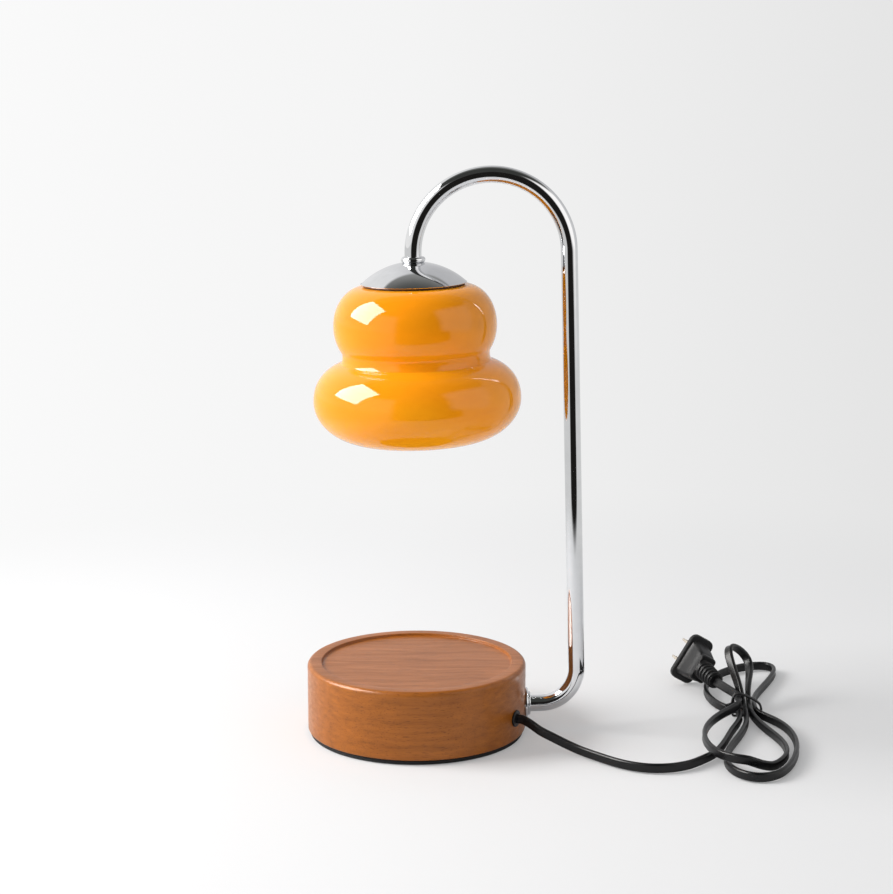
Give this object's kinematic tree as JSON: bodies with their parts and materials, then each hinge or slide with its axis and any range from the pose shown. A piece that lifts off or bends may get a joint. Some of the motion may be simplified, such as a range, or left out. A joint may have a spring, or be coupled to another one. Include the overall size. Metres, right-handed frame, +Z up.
{
  "type": "candle warmer lamp",
  "caption": "Candle warmer lamp: a round turned wooden base with a dished top, a bent chrome arm that hooks over it, and a two-tier amber glass shade with a reflector bulb.",
  "frame": {"origin": "middle of the round face that the base stands on", "axes": "+Z up, +X from the base towards the arm's leg, +Y to the back"},
  "size_m": [0.2974, 0.2131, 0.3358],
  "materials": {
    "wood": "turned, red-brown, satin",
    "iron": "as cast",
    "zinc": "zinc plated",
    "pad": "matt black foam rubber",
    "chrome": "mirror plated",
    "white_plastic": "moulded",
    "lead": "smooth black cord sheath",
    "black_plastic": "moulded, matt",
    "ceramic": "white, stands in for glazed ceramic",
    "brass": "bare",
    "amber_glass": "cased glass, amber orange, polished",
    "silicone": "soft, brown",
    "reflector": "bright coated",
    "clear_glass": "clear"
  },
  "bodies": {
    "stand": {"base_body": "wood", "base_ballast": "iron", "ballast_bolt": "zinc", "base_cover_plate": "zinc", "base_pad": "pad", "cover_screw_1": "zinc", "cover_screw_2": "zinc", "cover_screw_3": "zinc", "cover_screw_4": "zinc", "arm_tube": "chrome", "arm_flange": "chrome", "arm_washer": "zinc", "arm_nut": "zinc", "terminal_block": "white_plastic", "terminal_screw": "zinc", "arm_cable": "lead", "cord_lead_in": "lead", "cord_bush": "black_plastic", "cord_stop": "black_plastic", "cap_collar": "chrome", "shade_cap": "chrome", "cap_lock_nut": "zinc", "holder_cap": "black_plastic", "holder_sleeve": "black_plastic", "socket_core": "ceramic", "socket_contact_1": "brass", "socket_contact_2": "brass", "shade_gasket": "silicone", "plug_body": "black_plastic", "plug_blade_1": "brass", "plug_blade_2": "brass", "cord": "lead", "cord_hank": "lead", "cord_tail": "lead", "cord_tie": "black_plastic"},
    "shade_body": {"shade": "amber_glass"},
    "ring": {"shade_ring": "black_plastic"},
    "bulb": {"bulb_base": "ceramic", "bulb_stud_1": "zinc", "bulb_stud_2": "zinc", "bulb_reflector": "reflector", "bulb_lens": "clear_glass", "bulb_capsule": "clear_glass"}
  },
  "joints": [
    {"name": "shade_ring_turn", "type": "hinge", "parent": "shade_body", "child": "ring", "pos_m": [-0.00097, 0, 0.2686], "axis": [0.0279, 0, -0.9996], "range_deg": [0, 1080]},
    {"name": "shade_drop", "type": "slide", "parent": "stand", "child": "shade_body", "axis": [0.0279, 0, -0.9996], "range_m": [0, 0.006]},
    {"name": "bulb_twist", "type": "hinge", "parent": "stand", "child": "bulb", "pos_m": [-0.00097, 0, 0.2686], "axis": [0.0279, 0, -0.9996], "range_deg": [0, 20]}
  ],
  "couplings": [
    {"joint": "shade_ring_turn", "follows": "shade_drop", "rad_per_m": 3141.6}
  ]
}
